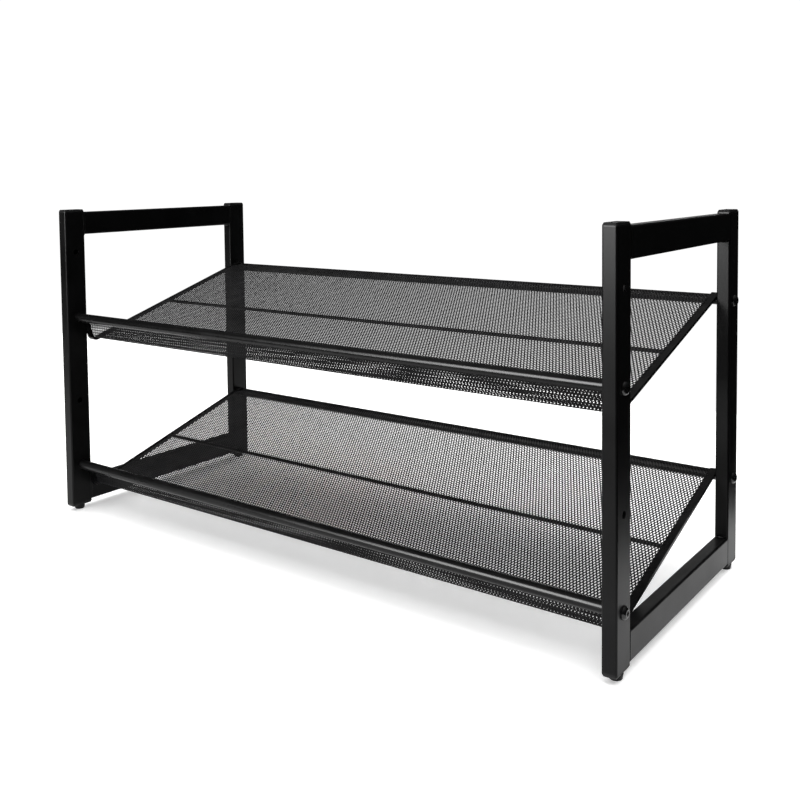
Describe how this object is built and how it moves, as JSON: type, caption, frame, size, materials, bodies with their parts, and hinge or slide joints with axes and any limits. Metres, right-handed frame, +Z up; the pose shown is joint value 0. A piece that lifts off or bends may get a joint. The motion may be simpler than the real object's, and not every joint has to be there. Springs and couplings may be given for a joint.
{
  "type": "shoe rack",
  "caption": "Free-standing tiered shoe rack: sloping mesh shelves with toe lips, bolted between welded flat-tube side frames on small round feet.",
  "frame": {"origin": "on the floor plane, at the middle of the rack", "axes": "+X along the rack to its right-hand end seen from the front, -Y to the front where the toe lips are, +Z up"},
  "size_m": [0.7512, 0.306, 0.38],
  "materials": {
    "frame_coat": "satin black powder coat",
    "shelf_coat": "satin black powder coat",
    "mesh_coat": "satin black powder coat over expanded steel",
    "bolt_steel": "blackened steel",
    "insert_steel": "turned steel",
    "cap_plastic": "fine-grained black plastic",
    "foot_plastic": "fine-grained black plastic"
  },
  "bodies": {
    "root": {"bottom_rail_left": "frame_coat", "bottom_rail_right": "frame_coat", "foot_plug_front_left": "foot_plastic", "foot_plug_front_right": "foot_plastic", "foot_plug_rear_left": "foot_plastic", "foot_plug_rear_right": "foot_plastic", "lower_end_bar_left": "shelf_coat", "lower_end_bar_right": "shelf_coat", "lower_front_bolt_left": "bolt_steel", "lower_front_bolt_right": "bolt_steel", "lower_front_insert_left": "insert_steel", "lower_front_insert_right": "insert_steel", "lower_front_tube": "shelf_coat", "lower_mesh_deck": "mesh_coat", "lower_middle_wire": "shelf_coat", "lower_rear_bolt_left": "bolt_steel", "lower_rear_bolt_right": "bolt_steel", "lower_rear_insert_left": "insert_steel", "lower_rear_insert_right": "insert_steel", "lower_rear_tube": "shelf_coat", "post_front_left": "frame_coat", "post_front_right": "frame_coat", "post_rear_left": "frame_coat", "post_rear_right": "frame_coat", "top_cap_front_left": "cap_plastic", "top_cap_front_right": "cap_plastic", "top_cap_rear_left": "cap_plastic", "top_cap_rear_right": "cap_plastic", "top_rail_left": "frame_coat", "top_rail_right": "frame_coat", "upper_end_bar_left": "shelf_coat", "upper_end_bar_right": "shelf_coat", "upper_front_bolt_left": "bolt_steel", "upper_front_bolt_right": "bolt_steel", "upper_front_insert_left": "insert_steel", "upper_front_insert_right": "insert_steel", "upper_front_tube": "shelf_coat", "upper_mesh_deck": "mesh_coat", "upper_middle_wire": "shelf_coat", "upper_rear_bolt_left": "bolt_steel", "upper_rear_bolt_right": "bolt_steel", "upper_rear_insert_left": "insert_steel", "upper_rear_insert_right": "insert_steel", "upper_rear_tube": "shelf_coat"}
  },
  "joints": []
}
